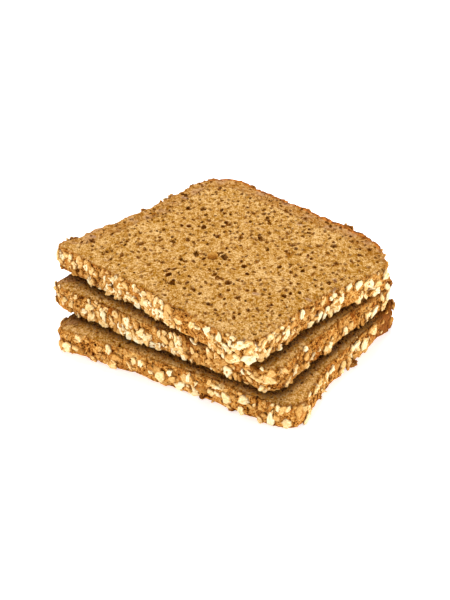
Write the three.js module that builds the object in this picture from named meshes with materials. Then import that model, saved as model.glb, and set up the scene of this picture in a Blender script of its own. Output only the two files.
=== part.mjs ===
/*
 * Three cut slices of a wholegrain tin loaf, lying in a stack.
 *
 * Each slice is one baked piece: a slab whose outline is the cross-section of the tin loaf, with a flat
 * base, two sides that have drawn in a little on cooling, and a low domed top. The slices lie flat on each
 * other and are turned and shifted a little, as they land when they are put down by hand.
 *
 * Millimetres, +Z up. The slices' own axes: +X across the loaf, +Y from its base to its domed top.
 * The origin is under the middle of the stack, on the surface that the lowest slice rests on.
 */
import * as THREE from 'three';

// The loaf's cross-section and the cut
const SLICE_WIDTH = 103.5; // across the tin
const SLICE_HEIGHT = 89.5; // from the tin's floor to the dome
const SLICE_THICKNESS = 10.5;
const AIR_GAP = 0.3; // between one slice and the next, because cut crumb is never quite flat

// How the outline is made
const EDGE_ROUNDING = 0.8; // the crumbled edge between the cut face and the crust
const EDGE_STEPS = 2;
const OUTLINE_POINTS = 120;
const ARC_HANDLE = 0.5523; // Bezier handle length that makes a quarter turn round
const NORMAL_REACH = 2; // neighbours on each side that set the outward direction at a point

// Ripples in the crust: how many go round the slice, and how far they stand in or out
const RIPPLES = [
  { count: 7, size: 0.3 },
  { count: 12, size: 0.22 },
  { count: 19, size: 0.16 },
];

/*
 * The slices from the bottom up. turn is in degrees about Z, shift is where the middle of the slice lies.
 * corners are the radii of base left, base right, top right and top left; bows say how far the base, right,
 * top and left sides stand out (or in, below zero) at their middle; flare widens the top corners, each side.
 */
const CRUMB = { color: 0xb98a4a, roughness: 0.93, metalness: 0 };
const SLICES = [
  {
    name: 'slice_bottom',
    turn: 4.5,
    shift: [6.4, -6.4],
    corners: [4, 10, 14, 18],
    bows: [-2, -3, 1.6, 0.5],
    flare: 0.6,
    ripplePhase: 0.4,
    look: { ...CRUMB, color: 0xb1803f },
  },
  {
    name: 'slice_middle',
    turn: 0,
    shift: [0, 0],
    corners: [5, 7, 18, 18],
    bows: [0.4, -0.4, 1.4, -1.9],
    flare: 0.9,
    ripplePhase: 2.1,
    look: { ...CRUMB, color: 0xb58545 },
  },
  {
    name: 'slice_top',
    turn: -8.7,
    shift: [0.1, 2],
    corners: [3.5, 9, 20, 17],
    bows: [-0.6, -3.2, 0, -3.3],
    flare: -1,
    ripplePhase: 4.4,
    look: CRUMB,
  },
];

/** The four corner points of a slice before rounding, anticlockwise from base left. */
function cornerPoints(flare) {
  const halfWidth = SLICE_WIDTH / 2;
  const halfHeight = SLICE_HEIGHT / 2;
  return [
    new THREE.Vector2(-halfWidth, -halfHeight),
    new THREE.Vector2(halfWidth, -halfHeight),
    new THREE.Vector2(halfWidth + flare, halfHeight),
    new THREE.Vector2(-halfWidth - flare, halfHeight),
  ];
}

/** The point that lies a given distance from one point on the way to another. */
function pointTowards(from, to, distance) {
  const step = to.clone().sub(from).setLength(distance);
  return from.clone().add(step);
}

/** Smooth cross-section: bowed sides joined by round corners. */
function smoothSection({ corners, bows, flare }) {
  const points = cornerPoints(flare);
  const section = new THREE.Shape();
  const first = pointTowards(points[0], points[1], corners[0]);
  section.moveTo(first.x, first.y);
  points.forEach((corner, side) => {
    const next = (side + 1) % points.length;
    const afterNext = (side + 2) % points.length;
    const start = pointTowards(corner, points[next], corners[side]);
    const end = pointTowards(points[next], corner, corners[next]);
    const turned = pointTowards(points[next], points[afterNext], corners[next]);
    const along = end.clone().sub(start).normalize();
    const outwards = new THREE.Vector2(along.y, -along.x);
    const middle = start.clone().add(end).multiplyScalar(0.5);
    const pull = middle.addScaledVector(outwards, 2 * bows[side]);
    section.quadraticCurveTo(pull.x, pull.y, end.x, end.y);
    const handleIn = end.clone().lerp(points[next], ARC_HANDLE);
    const handleOut = turned.clone().lerp(points[next], ARC_HANDLE);
    section.bezierCurveTo(handleIn.x, handleIn.y, handleOut.x, handleOut.y, turned.x, turned.y);
  });
  return section;
}

/** How far the crust stands out at a share, from 0 to 1, of the way round. */
function rippleAt(share, phase) {
  const wave = ({ count, size }) => size * Math.sin(2 * Math.PI * count * share + phase * count);
  return RIPPLES.reduce((sum, ripple) => sum + wave(ripple), 0);
}

/** The cross-section with its crust ripples, as a closed shape. */
function rippledSection(slice) {
  const smooth = smoothSection(slice).getSpacedPoints(OUTLINE_POINTS).slice(0, OUTLINE_POINTS);
  const around = (index) => smooth[(index + OUTLINE_POINTS) % OUTLINE_POINTS];
  const rippled = smooth.map((point, index) => {
    const along = around(index + NORMAL_REACH).clone().sub(around(index - NORMAL_REACH)).normalize();
    const outwards = new THREE.Vector2(along.y, -along.x);
    return point.clone().addScaledVector(outwards, rippleAt(index / OUTLINE_POINTS, slice.ripplePhase));
  });
  return new THREE.Shape(rippled);
}

/** One slice, lying on its cut face with its underside at z = 0 of its own frame. */
function makeSlice(slice) {
  const geometry = new THREE.ExtrudeGeometry(rippledSection(slice), {
    depth: SLICE_THICKNESS - 2 * EDGE_ROUNDING,
    steps: 1,
    bevelEnabled: true,
    bevelThickness: EDGE_ROUNDING,
    bevelSize: EDGE_ROUNDING,
    bevelOffset: -EDGE_ROUNDING,
    bevelSegments: EDGE_STEPS,
  });
  geometry.translate(0, 0, EDGE_ROUNDING);
  const mesh = new THREE.Mesh(geometry, new THREE.MeshStandardMaterial(slice.look));
  mesh.name = slice.name;
  return mesh;
}

/** The slices one on another, centred over the origin. */
function makeStack() {
  const stack = new THREE.Group();
  SLICES.forEach((slice, level) => {
    const mesh = makeSlice(slice);
    const [x, y] = slice.shift;
    mesh.position.set(x, y, level * (SLICE_THICKNESS + AIR_GAP));
    mesh.rotation.z = THREE.MathUtils.degToRad(slice.turn);
    stack.add(mesh);
  });
  stack.updateMatrixWorld(true);
  const extent = new THREE.Box3().setFromObject(stack, true);
  const middle = extent.getCenter(new THREE.Vector3());
  stack.position.set(-middle.x, -middle.y, 0);
  stack.updateMatrixWorld(true);
  return stack;
}

export default makeStack();
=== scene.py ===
"""Three cut slices of a wholegrain tin loaf in a stack: open crumb, baked crust and a coat of rolled oats.

A shape is worked on in millimetres and its mesh is written in metres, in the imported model's frame. A slice's
own axes are +X across the loaf and +Y from the base crust to the domed top. Places on the crust are given as
the way along it from the base-left corner, anticlockwise seen from above, and the height above the slice's
underside.
"""

import itertools
import logging
import math
from dataclasses import dataclass, field
from enum import Enum
from typing import Sequence

import bmesh
import bpy
import numpy as np
from mathutils import Euler, Matrix, Vector
from mathutils.bvhtree import BVHTree


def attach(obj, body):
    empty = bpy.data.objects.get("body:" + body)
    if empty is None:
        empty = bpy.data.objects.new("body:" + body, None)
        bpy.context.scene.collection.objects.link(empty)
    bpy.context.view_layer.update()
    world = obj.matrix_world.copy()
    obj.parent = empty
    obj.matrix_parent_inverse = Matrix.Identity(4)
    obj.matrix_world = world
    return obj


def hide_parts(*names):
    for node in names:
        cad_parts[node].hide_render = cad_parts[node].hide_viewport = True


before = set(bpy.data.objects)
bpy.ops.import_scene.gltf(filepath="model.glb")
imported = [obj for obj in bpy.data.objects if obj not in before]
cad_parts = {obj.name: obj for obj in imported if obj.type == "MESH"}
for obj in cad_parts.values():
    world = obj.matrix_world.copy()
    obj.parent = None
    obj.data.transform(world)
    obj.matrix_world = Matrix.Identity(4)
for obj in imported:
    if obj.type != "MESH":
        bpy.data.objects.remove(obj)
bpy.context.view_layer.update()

MM = 0.001
EDGE_ROUNDING = 0.8  # of the CAD slices, in mm: the full outline starts this far above the underside
TRIES = 12  # places that are tried for each bubble
PROBE = 6.0  # how far out of the crust the search for its surface starts, in mm
STUDIO_LIGHT = 1.3  # how much brighter than full white the studio shows a white surface that lies flat

logging.basicConfig(level=logging.INFO, format="%(message)s")
log = logging.getLogger("tin_loaf")

Colour = tuple[float, float, float, float]
Ball = tuple[np.ndarray, np.ndarray, float]  # its middle, its three radii and its turn in radians


def tone(red: int, green: int, blue: int) -> Colour:
    """The linear RGBA of a surface that shows as a given colour in the studio.

    Args:
        red: how red it shows, from 0 to 255.
        green: how green.
        blue: how blue.

    Returns:
        The colour for a shader.
    """
    def linear(value: float) -> float:
        """One channel, from 0 to 1."""
        bright = value / 12.92 if value <= 0.04045 else ((value + 0.055) / 1.055) ** 2.4
        return bright / STUDIO_LIGHT
    return (linear(red / 255), linear(green / 255), linear(blue / 255), 1.0)


def ease(values: np.ndarray, low: float, high: float) -> np.ndarray:
    """A smooth step from 0 at low to 1 at high, which may be the smaller of the two."""
    share = np.clip((values - low) / (high - low), 0.0, 1.0)
    return share * share * (3 - 2 * share)


def lumps(places: np.ndarray, size: float, seed: int) -> np.ndarray:
    """Smooth random lumps in space.

    Args:
        places: points in mm, one row each, with two or three coordinates.
        size: width of a lump in mm.
        seed: picks the pattern.

    Returns:
        A number from -1 to 1 for each point.
    """
    cell = np.floor(places / size).astype(np.int64)
    share = places / size - cell
    share = share * share * (3 - 2 * share)
    total = np.zeros(len(places))
    primes = np.array([73856093, 19349663, 83492791])[: places.shape[1]]
    for corner in itertools.product((0, 1), repeat=places.shape[1]):
        mixed = ((cell + corner) * primes).sum(1) ^ (seed * 40503 + 977)
        mixed = (mixed ^ (mixed >> 13)) * 1274126177
        height = ((mixed ^ (mixed >> 16)) & 0xFFFF) / 32767.5 - 1
        total += height * np.prod(np.where(corner, share, 1 - share), axis=1)
    return total


def vertex_places(mesh: bpy.types.Mesh) -> np.ndarray:
    """Reads the vertices of a mesh.

    Args:
        mesh: the mesh.

    Returns:
        Their places in mm, one row each.
    """
    flat = np.empty(len(mesh.vertices) * 3, np.float32)
    mesh.vertices.foreach_get("co", flat)
    return flat.reshape(-1, 3).astype(float) / MM


def move_vertices(mesh: bpy.types.Mesh, places: np.ndarray) -> None:
    """Puts the vertices of a mesh at places given in mm."""
    mesh.vertices.foreach_set("co", (places * MM).astype(np.float32).ravel())
    mesh.update()


def keep_number(mesh: bpy.types.Mesh, name: str, values: np.ndarray) -> None:
    """Stores one number per vertex for a material to read."""
    layer = mesh.attributes.new(name, "FLOAT", "POINT")
    layer.data.foreach_set("value", values.astype(np.float32))


def add_object(name: str, mesh: bpy.types.Mesh) -> bpy.types.Object:
    """Puts a mesh into the scene as an object at the origin.

    Args:
        name: the object's name.
        mesh: its mesh.

    Returns:
        The object.
    """
    piece = bpy.data.objects.new(name, mesh)
    bpy.context.scene.collection.objects.link(piece)
    return piece


def finished_mesh(bm: bmesh.types.BMesh, name: str) -> bpy.types.Mesh:
    """Writes a bmesh out as a new mesh and frees it.

    Args:
        bm: the bmesh.
        name: the new mesh's name.

    Returns:
        The mesh.
    """
    mesh = bpy.data.meshes.new(name)
    bm.to_mesh(mesh)
    bm.free()
    return mesh


def shade_smooth(mesh: bpy.types.Mesh, sharp: float = 180.0) -> None:
    """Shades a mesh smoothly.

    Args:
        mesh: the mesh.
        sharp: edges sharper than this, in degrees, keep their crease.
    """
    for face in mesh.polygons:
        face.use_smooth = True
    if sharp < 180:
        mesh.set_sharp_from_angle(angle=math.radians(sharp))


def remove_object(piece: bpy.types.Object) -> None:
    """Takes a helper out of the file.

    Args:
        piece: the helper, which goes with its mesh.
    """
    mesh = piece.data
    bpy.data.objects.remove(piece)
    bpy.data.meshes.remove(mesh)


def settled_mesh(piece: bpy.types.Object) -> bpy.types.Mesh:
    """Applies the modifiers of a piece.

    Args:
        piece: the piece, left as it is.

    Returns:
        The mesh they give.
    """
    graph = bpy.context.evaluated_depsgraph_get()
    graph.update()
    return bpy.data.meshes.new_from_object(piece.evaluated_get(graph))


def repeated(blank: bpy.types.Mesh, count: int, name: str) -> bpy.types.Mesh:
    """Many copies of a small mesh, one after another, as one mesh.

    Args:
        blank: the mesh to copy.
        count: how many copies.
        name: the new mesh's name.

    Returns:
        The mesh. Its vertices are those of the blank, count times over.
    """
    batch = 40
    few = bmesh.new()
    for _ in range(batch):
        few.from_mesh(blank)
    many = finished_mesh(few, "batch")
    whole = bmesh.new()
    for source, times in ((many, count // batch), (blank, count % batch)):
        for _ in range(times):
            whole.from_mesh(source)
    bpy.data.meshes.remove(many)
    return finished_mesh(whole, name)


# ---------------------------------------------------------------------------------------------- shader maths


class Number:
    """One value inside a material. Python's operators on it add Math nodes."""

    def __init__(self, graph: "ShaderGraph", socket: bpy.types.NodeSocket) -> None:
        """Wraps an output socket of a node in graph."""
        self.graph = graph
        self.socket = socket

    def _math(self, operation: str, first: object, second: object) -> "Number":
        """The Math node for one operation, as a new value."""
        node = self.graph.add("ShaderNodeMath", {"operation": operation}, {0: first, 1: second})
        return Number(self.graph, node.outputs[0])

    def __add__(self, other: object) -> "Number":
        """Sum."""
        return self._math("ADD", self, other)

    def __radd__(self, other: object) -> "Number":
        """Sum with the number first."""
        return self._math("ADD", other, self)

    def __sub__(self, other: object) -> "Number":
        """Difference."""
        return self._math("SUBTRACT", self, other)

    def __rsub__(self, other: object) -> "Number":
        """Difference with the number first."""
        return self._math("SUBTRACT", other, self)

    def __mul__(self, other: object) -> "Number":
        """Product."""
        return self._math("MULTIPLY", self, other)

    def __rmul__(self, other: object) -> "Number":
        """Product with the number first."""
        return self._math("MULTIPLY", other, self)

    def size(self) -> "Number":
        """The value without its sign."""
        return self._math("ABSOLUTE", self, 0.0)

    def step(self, low: float, high: float) -> "Number":
        """A smooth step.

        Args:
            low: the value at which it is 0.
            high: the value at which it is 1, which may be the smaller of the two.

        Returns:
            The step, from 0 to 1.
        """
        settings = {"interpolation_type": "SMOOTHSTEP"}
        ends = (low, high, 0.0, 1.0) if low < high else (high, low, 1.0, 0.0)
        sockets = dict(zip(("From Min", "From Max", "To Min", "To Max"), ends))
        node = self.graph.add("ShaderNodeMapRange", settings, {"Value": self, **sockets})
        return Number(self.graph, node.outputs["Result"])


class ShaderGraph:
    """A material under construction."""

    def __init__(self, name: str) -> None:
        """Starts a material with a Principled shader and nothing else.

        Args:
            name: the material's name.
        """
        self.material = bpy.data.materials.new(name)
        self.material.use_nodes = True
        self.tree = self.material.node_tree
        self.shader = self.tree.nodes["Principled BSDF"]
        self.place = self.add("ShaderNodeTexCoord").outputs["Object"]

    def add(self, kind: str, settings: dict | None = None, sockets: dict | None = None) -> bpy.types.Node:
        """Adds a node.

        Args:
            kind: the node's type.
            settings: what to set on the node itself, before its sockets; "stops" fills a colour ramp.
            sockets: a value, a Number or an output socket for each input, by name or index.

        Returns:
            The node.
        """
        node = self.tree.nodes.new(kind)
        for name, value in (settings or {}).items():
            if name == "stops":
                self._fill_ramp(node.color_ramp, value)
            else:
                setattr(node, name, value)
        for key, value in (sockets or {}).items():
            self.feed(node.inputs[key], value)
        return node

    def feed(self, socket: bpy.types.NodeSocket, value: object) -> None:
        """Links a socket or sets its value.

        Args:
            socket: the input.
            value: a Number or an output to link, or a plain value to set.
        """
        source = value.socket if isinstance(value, Number) else value
        if isinstance(source, bpy.types.NodeSocket):
            self.tree.links.new(source, socket)
        else:
            socket.default_value = source

    @staticmethod
    def _fill_ramp(ramp: bpy.types.ColorRamp, stops: Sequence[tuple[float, Colour]]) -> None:
        """Gives a ramp its stops.

        Args:
            ramp: the ramp.
            stops: places from 0 to 1 and their colours, from left to right.
        """
        ramp.elements[0].position, ramp.elements[-1].position = stops[0][0], stops[-1][0]
        for position, _ in stops[1:-1]:
            ramp.elements.new(position)
        for element, (_, colour) in zip(ramp.elements, stops):
            element.color = colour

    def attribute(self, name: str) -> Number:
        """A number kept on the mesh."""
        return Number(self, self.add("ShaderNodeAttribute", {"attribute_name": name}).outputs["Fac"])

    def drawn_out(
        self, lengths: tuple[float, float, float], source: object = None, turn: float = 0.0
    ) -> bpy.types.NodeSocket:
        """The place on the piece, for a pattern that is longer one way than another.

        Args:
            lengths: how many times longer the pattern is along X, Y and Z.
            source: where the pattern is read, or the place on the piece.
            turn: of those three axes about Z, in degrees.

        Returns:
            The place.
        """
        turned = (0.0, 0.0, math.radians(turn))
        sockets = {"Vector": source or self.place, "Rotation": turned, "Scale": lengths}
        return self.add("ShaderNodeMapping", {"vector_type": "TEXTURE"}, sockets).outputs["Vector"]

    def noise(self, grain: float, detail: float = 2.0, rough: float = 0.5, source: object = None) -> Number:
        """Soft noise from 0 to 1.

        Args:
            grain: width of one lump, in the units of the source: metres for the place on the piece.
            detail: how many finer layers it has.
            rough: how strong the finer layers are.
            source: where the pattern is read, or the place on the piece.

        Returns:
            The value.
        """
        sockets = {"Vector": source or self.place, "Scale": 1 / grain, "Detail": detail, "Roughness": rough}
        return Number(self, self.add("ShaderNodeTexNoise", {}, sockets).outputs["Fac"])

    def cells(self, grain: float, source: object = None) -> tuple[Number, Number]:
        """Random cells.

        Args:
            grain: width of a cell, in the units of the source.
            source: where it is read, or the place on the piece.

        Returns:
            The distance to the middle of a cell, in cell widths, and a random number for each cell.
        """
        node = self.add("ShaderNodeTexVoronoi", {}, {"Vector": source or self.place, "Scale": 1 / grain})
        parts = self.add("ShaderNodeSeparateColor", {}, {"Color": node.outputs["Color"]})
        return Number(self, node.outputs["Distance"]), Number(self, parts.outputs[0])

    def ramp(self, factor: Number, stops: Sequence[tuple[float, Colour]]) -> bpy.types.NodeSocket:
        """A colour that changes with a value."""
        return self.add("ShaderNodeValToRGB", {"stops": stops}, {"Fac": factor}).outputs["Color"]

    def blend(self, factor: object, under: object, over: object, way: str = "MIX") -> bpy.types.NodeSocket:
        """Lays one colour over another.

        Args:
            factor: how much of the upper colour shows.
            under: the lower colour.
            over: the upper colour.
            way: the Mix node's blend type.

        Returns:
            The mixed colour.
        """
        settings = {"data_type": "RGBA", "blend_type": way, "clamp_factor": True}
        return self.add("ShaderNodeMix", settings, {0: factor, 6: under, 7: over}).outputs[2]

    def bump(self, height: object, depth: float, strength: float = 1.0) -> bpy.types.NodeSocket:
        """A normal bent by a height.

        Args:
            height: the height, from 0 to 1.
            depth: what 1 stands for, in metres.
            strength: how much of the effect shows.

        Returns:
            The normal.
        """
        sockets = {"Height": height, "Distance": depth, "Strength": strength}
        return self.add("ShaderNodeBump", {}, sockets).outputs["Normal"]

    def finish(self, colour: object, rough: object, normal: object, specular: float) -> bpy.types.Material:
        """Wires the shader up and hands the material over.

        Args:
            colour: base colour.
            rough: roughness.
            normal: the normal, as bump() makes it.
            specular: the shader's specular level.

        Returns:
            The material.
        """
        self.feed(self.shader.inputs["Base Color"], colour)
        self.feed(self.shader.inputs["Roughness"], rough)
        self.feed(self.shader.inputs["Normal"], normal)
        self.feed(self.shader.inputs["Specular IOR Level"], specular)
        return self.material


# -------------------------------------------------------------------------------------------------- finishes


@dataclass(frozen=True)
class BreadFinish:
    """Wholegrain crumb inside a baked crust, told apart by the numbers that a slice keeps on its mesh."""

    crumb_deep: Colour = tone(177, 117, 20)
    crumb: Colour = tone(218, 162, 84)
    crumb_light: Colour = tone(253, 207, 138)
    dense: Colour = (0.80, 0.70, 0.60, 1.0)  # what it takes from the crumb's own colour
    # painted shade: the crumb's colour down in pores and small dimples, darker than the crumb in the light
    painted_pore_shade: Colour = tone(166, 96, 0)
    seam: Colour = tone(138, 84, 32)
    rim: Colour = tone(220, 126, 38)
    rim_deep: Colour = tone(120, 58, 12)
    crust: Colour = tone(210, 134, 50)
    crust_light: Colour = tone(250, 196, 112)
    # a dark tone of the crust itself, and painted shade in dents and pits of the crust
    dark_crust_and_pit_shade: Colour = tone(72, 24, 0)
    domed_crust: Colour = tone(150, 84, 34)
    scorched: Colour = tone(186, 92, 20)
    bran: Colour = tone(134, 68, 18)
    husk: Colour = tone(190, 152, 132)
    # painted shade: deep in hollows, and on the crumb under the slice above
    shaded: Colour = tone(68, 25, 0)

    def material(self, name: str) -> bpy.types.Material:
        """Builds the material.

        Args:
            name: the material's name.

        Returns:
            The material.
        """
        graph = ShaderGraph(name)
        skin = graph.attribute("skin")
        hollow = graph.attribute("hollow")
        baked = graph.attribute("dome_side")
        packed = graph.attribute("packed")
        risen = graph.drawn_out((1.0, 1.35, 1.0), turn=36)
        fine = graph.noise(0.0015, 3.0, 0.6, risen)
        grit = graph.noise(0.00055, 1.0, 0.6, risen)
        patches = graph.noise(0.006, 2.0, 0.5)
        broad = graph.noise(0.03, 1.0, 0.5)
        small, small_pick = graph.cells(0.0016, graph.drawn_out((1.0, 1.5, 1.2), turn=36))
        tiny, _ = graph.cells(0.00085, risen)

        crumb = graph.ramp(
            fine * 0.7 + grit * 0.65 + patches * 0.1 + broad * 0.1 - 0.275,
            [(0.36, self.crumb_deep), (0.5, self.crumb), (0.64, self.crumb_light)],
        )
        crumb = graph.blend(packed * (0.6 + broad * 0.6), crumb, self.dense, "MULTIPLY")
        crumb = graph.blend(packed * patches.step(0.5, 0.66) * 0.3, crumb, self.husk)
        seam = ((packed - 0.5).size() * 3).step(1.0, 0.2) * patches.step(0.35, 0.55)
        crumb = graph.blend(seam * 0.6, crumb, self.seam)
        dimple = small.step(0.42, 0.18) * small_pick.step(0.4, 0.6)
        # painted pore shade in the small dimples that the bump presses in
        crumb = graph.blend(dimple * 0.6, crumb, self.painted_pore_shade)
        near, pick = graph.cells(0.0031)
        crumb = graph.blend(near.step(0.26, 0.16) * pick.step(0.9, 0.93) * 0.8, crumb, self.bran)
        near, pick = graph.cells(0.0085, graph.drawn_out((1.0, 0.6, 1.0)))
        crumb = graph.blend(near.step(0.26, 0.12) * pick.step(0.8, 0.84) * 0.5, crumb, self.husk)
        # painted shade that deepens the further the crumb lies below the cut faces, in pores and pits
        crumb = graph.blend(hollow.step(0.1, 0.7) * 0.7, crumb, self.painted_pore_shade)
        crumb = graph.blend(hollow.step(1.0, 2.2) * 0.8, crumb, self.shaded)

        crust = graph.ramp(
            fine * 0.6 + grit * 0.5 + patches * 0.25 - 0.175,
            [(0.37, self.dark_crust_and_pit_shade), (0.49, self.crust), (0.64, self.crust_light)],
        )
        burnt = graph.noise(0.008, 3.0, 0.65).step(0.52, 0.66)
        crust = graph.blend(burnt * 0.4, crust, self.scorched)
        crust = graph.blend(baked * (0.5 + fine * 0.7), crust, self.domed_crust)
        sides = hollow.step(0.25, 0.8)
        # painted shade in dents and pits of the side crust, darker the further they go in
        crust = graph.blend(skin.step(0.35, 1.7) * sides * 0.85, crust, self.dark_crust_and_pit_shade)

        near, pick = graph.cells(0.0019)
        crust = graph.blend(near.step(0.34, 0.16) * pick.step(0.62, 0.68) * 0.8, crust, self.dark_crust_and_pit_shade)

        edge = skin + (graph.noise(0.0016, 2.0, 0.6) - 0.5) * 1.4
        shell = (edge - sides * 1.3).step(0.6, 0.1)
        cut_crust = graph.blend(fine.step(0.6, 0.36), self.rim, self.rim_deep)
        shown = (edge - baked * 1.7).step(1.4, 0.5) * (1 - sides)
        rim = graph.blend(shown * (0.12 + baked * 0.7), crumb, cut_crust)
        colour = graph.blend(shell * (0.35 + sides * 0.65), rim, crust)
        # painted shade on the crumb under the slice above, with a grain through it
        specks = (fine * 0.5 + grit * 0.5).step(0.4, 0.6)
        colour = graph.blend(graph.attribute("painted_gap_shade") * (0.35 + specks * 0.65), colour, self.shaded)

        relief = fine * 0.6 + grit * 0.45 + tiny * 0.45 - dimple * 0.8
        normal = graph.bump(relief * (1 + shell * 0.8), 0.0006, 0.8)
        rough = 0.62 + graph.noise(0.0012, 2.0, 0.5) * 0.35
        return graph.finish(colour, rough, normal, 0.02)


@dataclass(frozen=True)
class OatFinish:
    """Rolled oats that have been through the oven."""

    pale: Colour = (0.95, 0.83, 0.53, 1.0)
    cream: Colour = (0.90, 0.66, 0.30, 1.0)
    golden: Colour = (0.74, 0.41, 0.12, 1.0)
    toasted: Colour = (0.46, 0.19, 0.03, 1.0)
    # painted shade where an oat sits in the crust or against it
    painted_contact_shade: Colour = (0.20, 0.06, 0.005, 1.0)
    flour: Colour = (0.97, 0.92, 0.72, 1.0)

    def material(self, name: str) -> bpy.types.Material:
        """Builds the material.

        Args:
            name: the material's name.

        Returns:
            The material.
        """
        graph = ShaderGraph(name)
        toast = graph.attribute("toast")
        proud = graph.attribute("proud")
        flake = graph.add("ShaderNodeAttribute", {"attribute_name": "flake"}).outputs["Vector"]
        parts = graph.add("ShaderNodeSeparateXYZ", {}, {"Vector": flake})
        across = Number(graph, parts.outputs["Y"])
        out = Number(graph, parts.outputs["Z"])
        fibres = graph.noise(0.34, 3.0, 0.6, graph.drawn_out((2.2, 0.62, 50.0), flake))
        grain = graph.noise(0.0006, 3.0, 0.65)

        shade = toast + (fibres - 0.5) * 0.8 + (grain - 0.5) * 0.9 + out.step(0.66, 1.0) * 0.3
        colour = graph.ramp(
            shade, [(0.08, self.pale), (0.34, self.cream), (0.62, self.golden), (0.95, self.toasted)]
        )
        colour = graph.blend(across.size().step(0.32, 0.08) * 0.4, colour, self.golden)
        dust = graph.noise(0.0016, 3.0, 0.7).step(0.56, 0.7) * toast.step(0.6, 0.2) * 0.55
        colour = graph.blend(dust, colour, self.flour)
        # painted contact shade on the parts of an oat that lie close to or below the crust's surface
        colour = graph.blend(proud.step(0.42, -0.15) * 0.85, colour, self.painted_contact_shade)
        normal = graph.bump(fibres * 0.7 + grain * 0.7, 0.0004, 0.8)
        return graph.finish(colour, 0.68 + grain * 0.2, normal, 0.06)


@dataclass(frozen=True)
class TableFinish:
    """The plain white table top."""

    white: Colour = (0.88, 0.88, 0.88, 1.0)
    glow: float = 0.6  # light that comes up through the table

    def material(self, name: str) -> bpy.types.Material:
        """Builds a matt white, barely uneven and lit a little from below.

        Args:
            name: the material's name.

        Returns:
            The material.
        """
        graph = ShaderGraph(name)
        rough = 0.85 + graph.noise(0.05) * 0.1
        graph.feed(graph.shader.inputs["Emission Color"], (1.0, 1.0, 1.0, 1.0))
        graph.feed(graph.shader.inputs["Emission Strength"], self.glow)
        return graph.finish(self.white, rough, graph.bump(graph.noise(0.01), 0.00001, 0.1), 0.1)


# ------------------------------------------------------------------------------------------ slices and crumb


class CrustLine:
    """The closed line that a slice's crust follows, seen from above."""

    def __init__(self, node: str, turn: float) -> None:
        """Reads the line from a CAD slice.

        Args:
            node: name of the CAD node.
            turn: how far the slice is turned about +Z, in degrees.
        """
        places = vertex_places(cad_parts[node].data)
        self.floor, self.ceiling = places[:, 2].min(), places[:, 2].max()
        at_full_size = abs(places[:, 2] - self.floor - EDGE_ROUNDING) < 0.05
        ring = np.unique(np.round(places[at_full_size, :2], 3), axis=0)
        angle = math.radians(turn)
        self.axes = np.array([[math.cos(angle), math.sin(angle)], [-math.sin(angle), math.cos(angle)]])
        level = ring @ self.axes.T
        self.half = (level.max(0) - level.min(0)) / 2
        self.centre = (level.max(0) + level.min(0)) / 2 @ self.axes
        level = self.to_slice(ring)
        first = math.atan2(-self.half[1], -self.half[0])
        bearing = first + (np.arctan2(level[:, 1], level[:, 0]) - first) % (2 * math.pi)
        self.points = ring[np.argsort(bearing)]
        self.bearings = np.sort(bearing)
        self.steps = np.roll(self.points, -1, axis=0) - self.points
        self.lengths = np.linalg.norm(self.steps, axis=1)
        self.reached = np.concatenate([[0.0], np.cumsum(self.lengths)])
        faces = np.column_stack([self.steps[:, 1], -self.steps[:, 0]]) / self.lengths[:, None]
        corners = faces + np.roll(faces, 1, axis=0)
        self.outwards = corners / np.linalg.norm(corners, axis=1)[:, None]

    @property
    def length(self) -> float:
        """The way once round the crust, in mm."""
        return float(self.reached[-1])

    @property
    def thickness(self) -> float:
        """The slice's thickness in mm."""
        return float(self.ceiling - self.floor)

    def to_slice(self, places: np.ndarray) -> np.ndarray:
        """Places seen from above, in the slice's own axes."""
        return (places - self.centre) @ self.axes.T

    def from_slice(self, places: np.ndarray) -> np.ndarray:
        """Places in the slice's own axes, in the model's frame."""
        return places @ self.axes + self.centre

    def at(self, along: float) -> tuple[np.ndarray, np.ndarray]:
        """Finds a place on the crust.

        Args:
            along: the way to it, in mm along the crust.

        Returns:
            The point there, and the direction that faces out.
        """
        along = along % self.length
        index = int(np.searchsorted(self.reached, along, side="right")) - 1
        share = (along - self.reached[index]) / self.lengths[index]
        after = (index + 1) % len(self.points)
        outward = self.outwards[index] * (1 - share) + self.outwards[after] * share
        return self.points[index] + self.steps[index] * share, outward / np.linalg.norm(outward)

    def measure(self, places: np.ndarray) -> tuple[np.ndarray, np.ndarray, np.ndarray]:
        """Where points lie to the crust.

        Args:
            places: points seen from above, in mm.

        Returns:
            How far inside the crust each point is, the outward direction at the nearest crust, and the way
            along the crust to there.
        """
        level = self.to_slice(places)
        around = (np.arctan2(level[:, 1], level[:, 0]) - self.bearings[0]) % (2 * math.pi)
        middle = np.searchsorted(self.bearings - self.bearings[0], around)
        nearest = np.full(len(places), np.inf)
        inside, along = np.zeros(len(places)), np.zeros(len(places))
        outward = np.zeros((len(places), 2))
        for offset in range(-5, 5):
            index = (middle + offset) % len(self.points)
            after = (index + 1) % len(self.points)
            step = self.steps[index]
            share = ((places - self.points[index]) * step).sum(1) / self.lengths[index] ** 2
            share = np.clip(share, 0, 1)
            gap = places - self.points[index] - share[:, None] * step
            distance = np.hypot(gap[:, 0], gap[:, 1])
            mixed = (1 - share)[:, None] * self.outwards[index] + share[:, None] * self.outwards[after]
            side = np.where((gap * mixed).sum(1) > 0, -1.0, 1.0)
            closer = distance < nearest
            nearest = np.where(closer, distance, nearest)
            inside = np.where(closer, side * distance, inside)
            along = np.where(closer, self.reached[index] + share * self.lengths[index], along)
            outward = np.where(closer[:, None], mixed, outward)
        return inside, outward / np.linalg.norm(outward, axis=1)[:, None], along


class Face(Enum):
    """The two cut faces of a slice, with the direction that each one faces."""

    UPPER = 1
    LOWER = -1


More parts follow.
